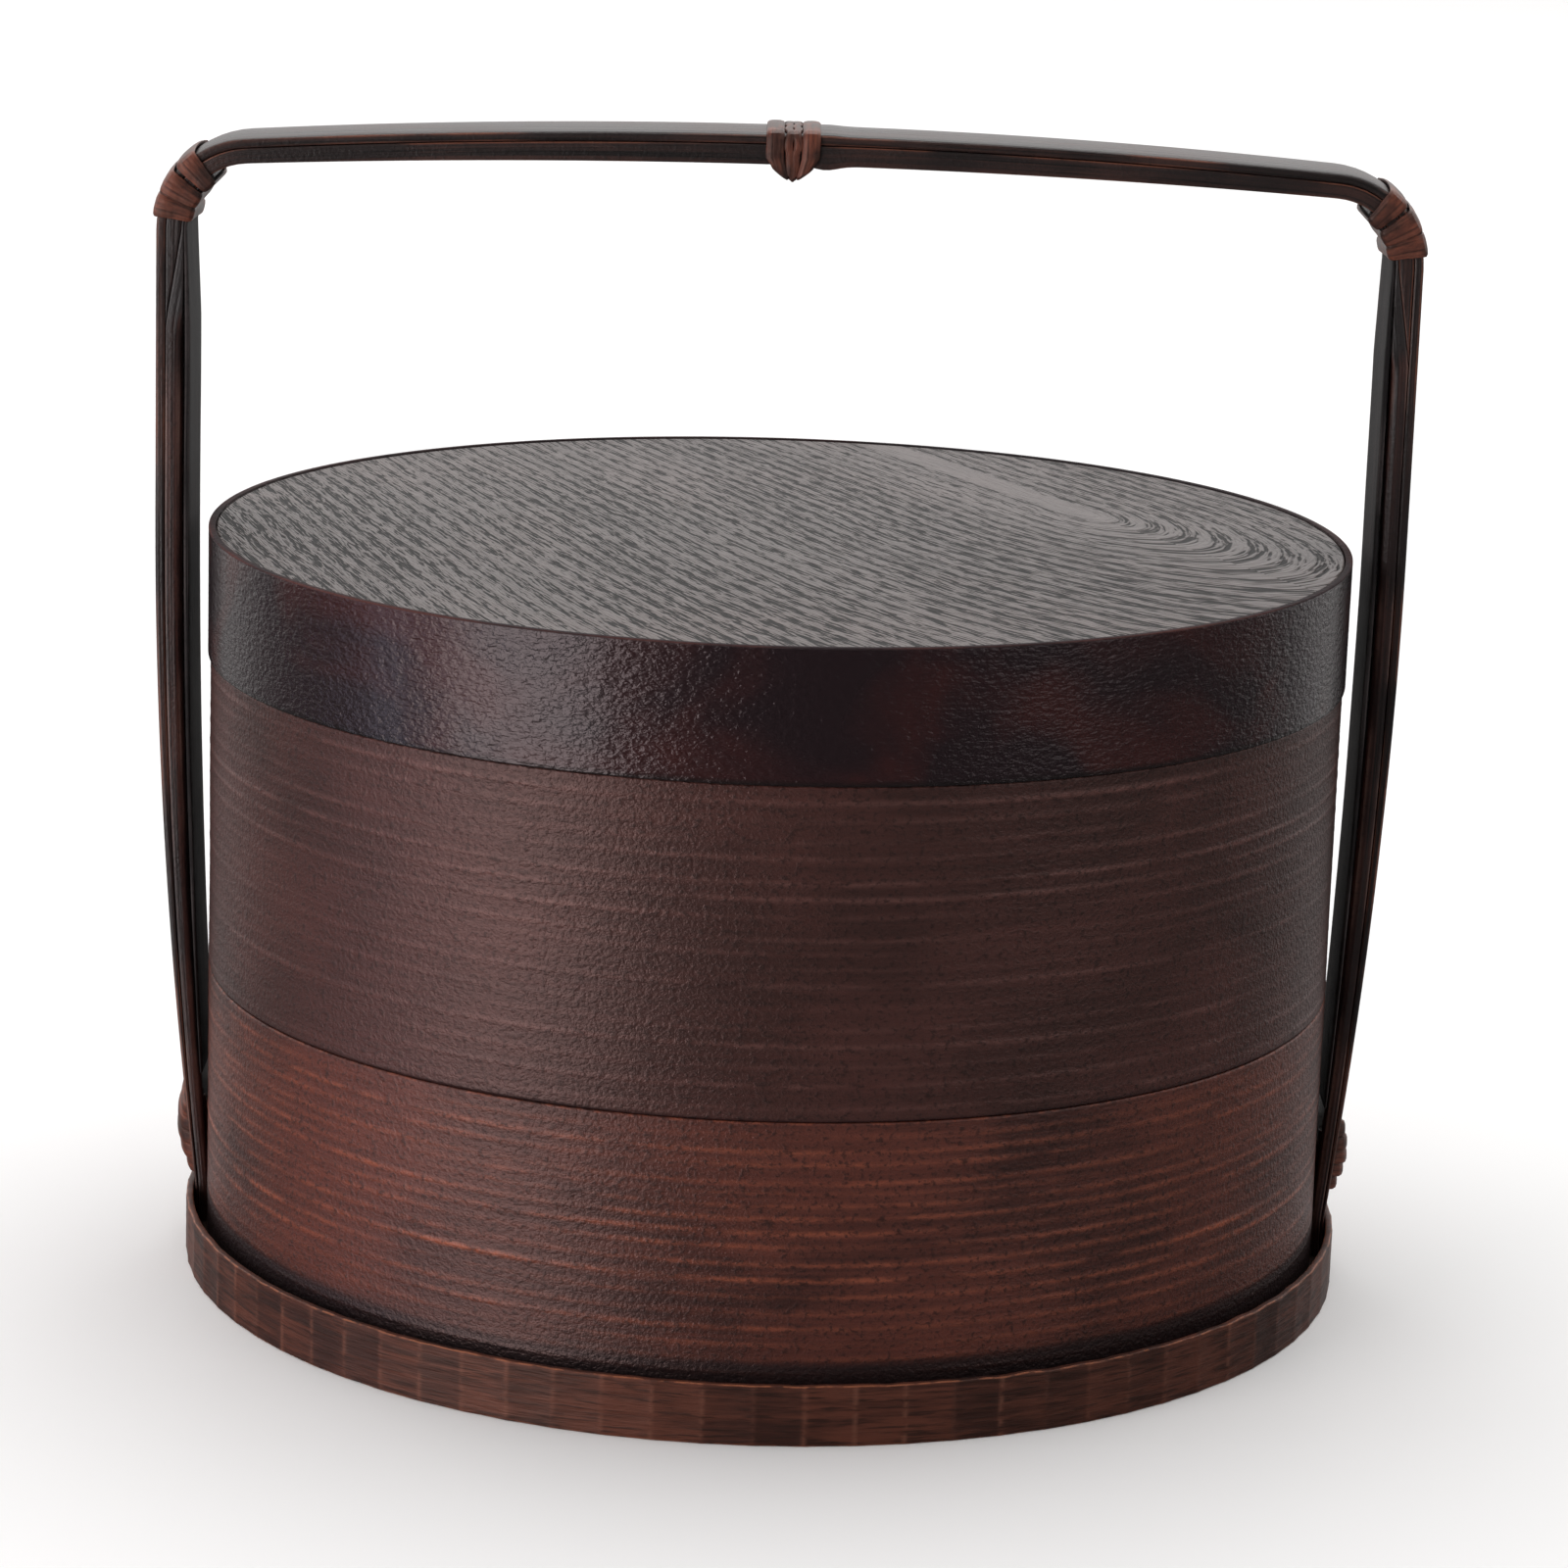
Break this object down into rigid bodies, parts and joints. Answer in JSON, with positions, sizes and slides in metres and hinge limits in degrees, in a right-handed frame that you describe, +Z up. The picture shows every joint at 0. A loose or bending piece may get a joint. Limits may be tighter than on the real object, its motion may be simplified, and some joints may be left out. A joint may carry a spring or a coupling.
{
  "type": "two-tier bentwood food carrier",
  "caption": "Round stacking food carrier: a lidded pair of bentwood boxes standing in a bamboo base hoop under a fixed, cane-lashed bamboo carrying handle.",
  "frame": {"origin": "centre of the base hoop's foot, on the surface it stands on", "axes": "+Z up, X along the handle's span, -Y the front"},
  "size_m": [0.2644, 0.248, 0.2438],
  "materials": {
    "box_lacquer": "satin red-brown lacquer over ribbed grain",
    "lid_lacquer": "gloss dark red-brown lacquer",
    "panel_wood": "matte open-grained grey-brown",
    "inside_lacquer": "satin dark lacquer",
    "base_wood": "matte stained board",
    "bamboo_hoop": "satin smoked bamboo",
    "handle_bamboo": "satin smoked bamboo",
    "bamboo_pin": "matte bamboo end grain",
    "cane": "satin stained split cane"
  },
  "bodies": {
    "carrier": {"base_hoop": "bamboo_hoop", "base_board": "base_wood", "leg_pins": "bamboo_pin", "hoop_lap_pins": "bamboo_pin", "handle_outer_strip": "handle_bamboo", "handle_bar_strip": "handle_bamboo", "leg_middle_strip_left": "handle_bamboo", "leg_middle_strip_right": "handle_bamboo", "leg_inner_strip_left": "handle_bamboo", "leg_inner_strip_right": "handle_bamboo", "centre_wrap": "cane", "corner_wrap_left": "cane", "corner_wrap_right": "cane", "leg_lashing_left": "cane", "leg_lashing_right": "cane"},
    "lower_box": {"lower_box_wall": "box_lacquer", "lower_box_bottom": "inside_lacquer", "lower_box_lip": "inside_lacquer"},
    "upper_box": {"upper_box_wall": "box_lacquer", "upper_box_bottom": "inside_lacquer", "upper_box_lip": "inside_lacquer"},
    "lid": {"lid_rim": "lid_lacquer", "lid_liner": "inside_lacquer", "lid_panel": "panel_wood"}
  },
  "joints": [
    {"name": "lower_box_lift", "type": "slide", "parent": "carrier", "child": "lower_box", "axis": [0, 0, 1], "range_m": [0, 0.016]},
    {"name": "upper_box_lift", "type": "slide", "parent": "lower_box", "child": "upper_box", "axis": [0, 0, 1], "range_m": [0, 0.02]},
    {"name": "lid_lift", "type": "slide", "parent": "upper_box", "child": "lid", "axis": [0, 0, 1], "range_m": [0, 0.028]}
  ]
}
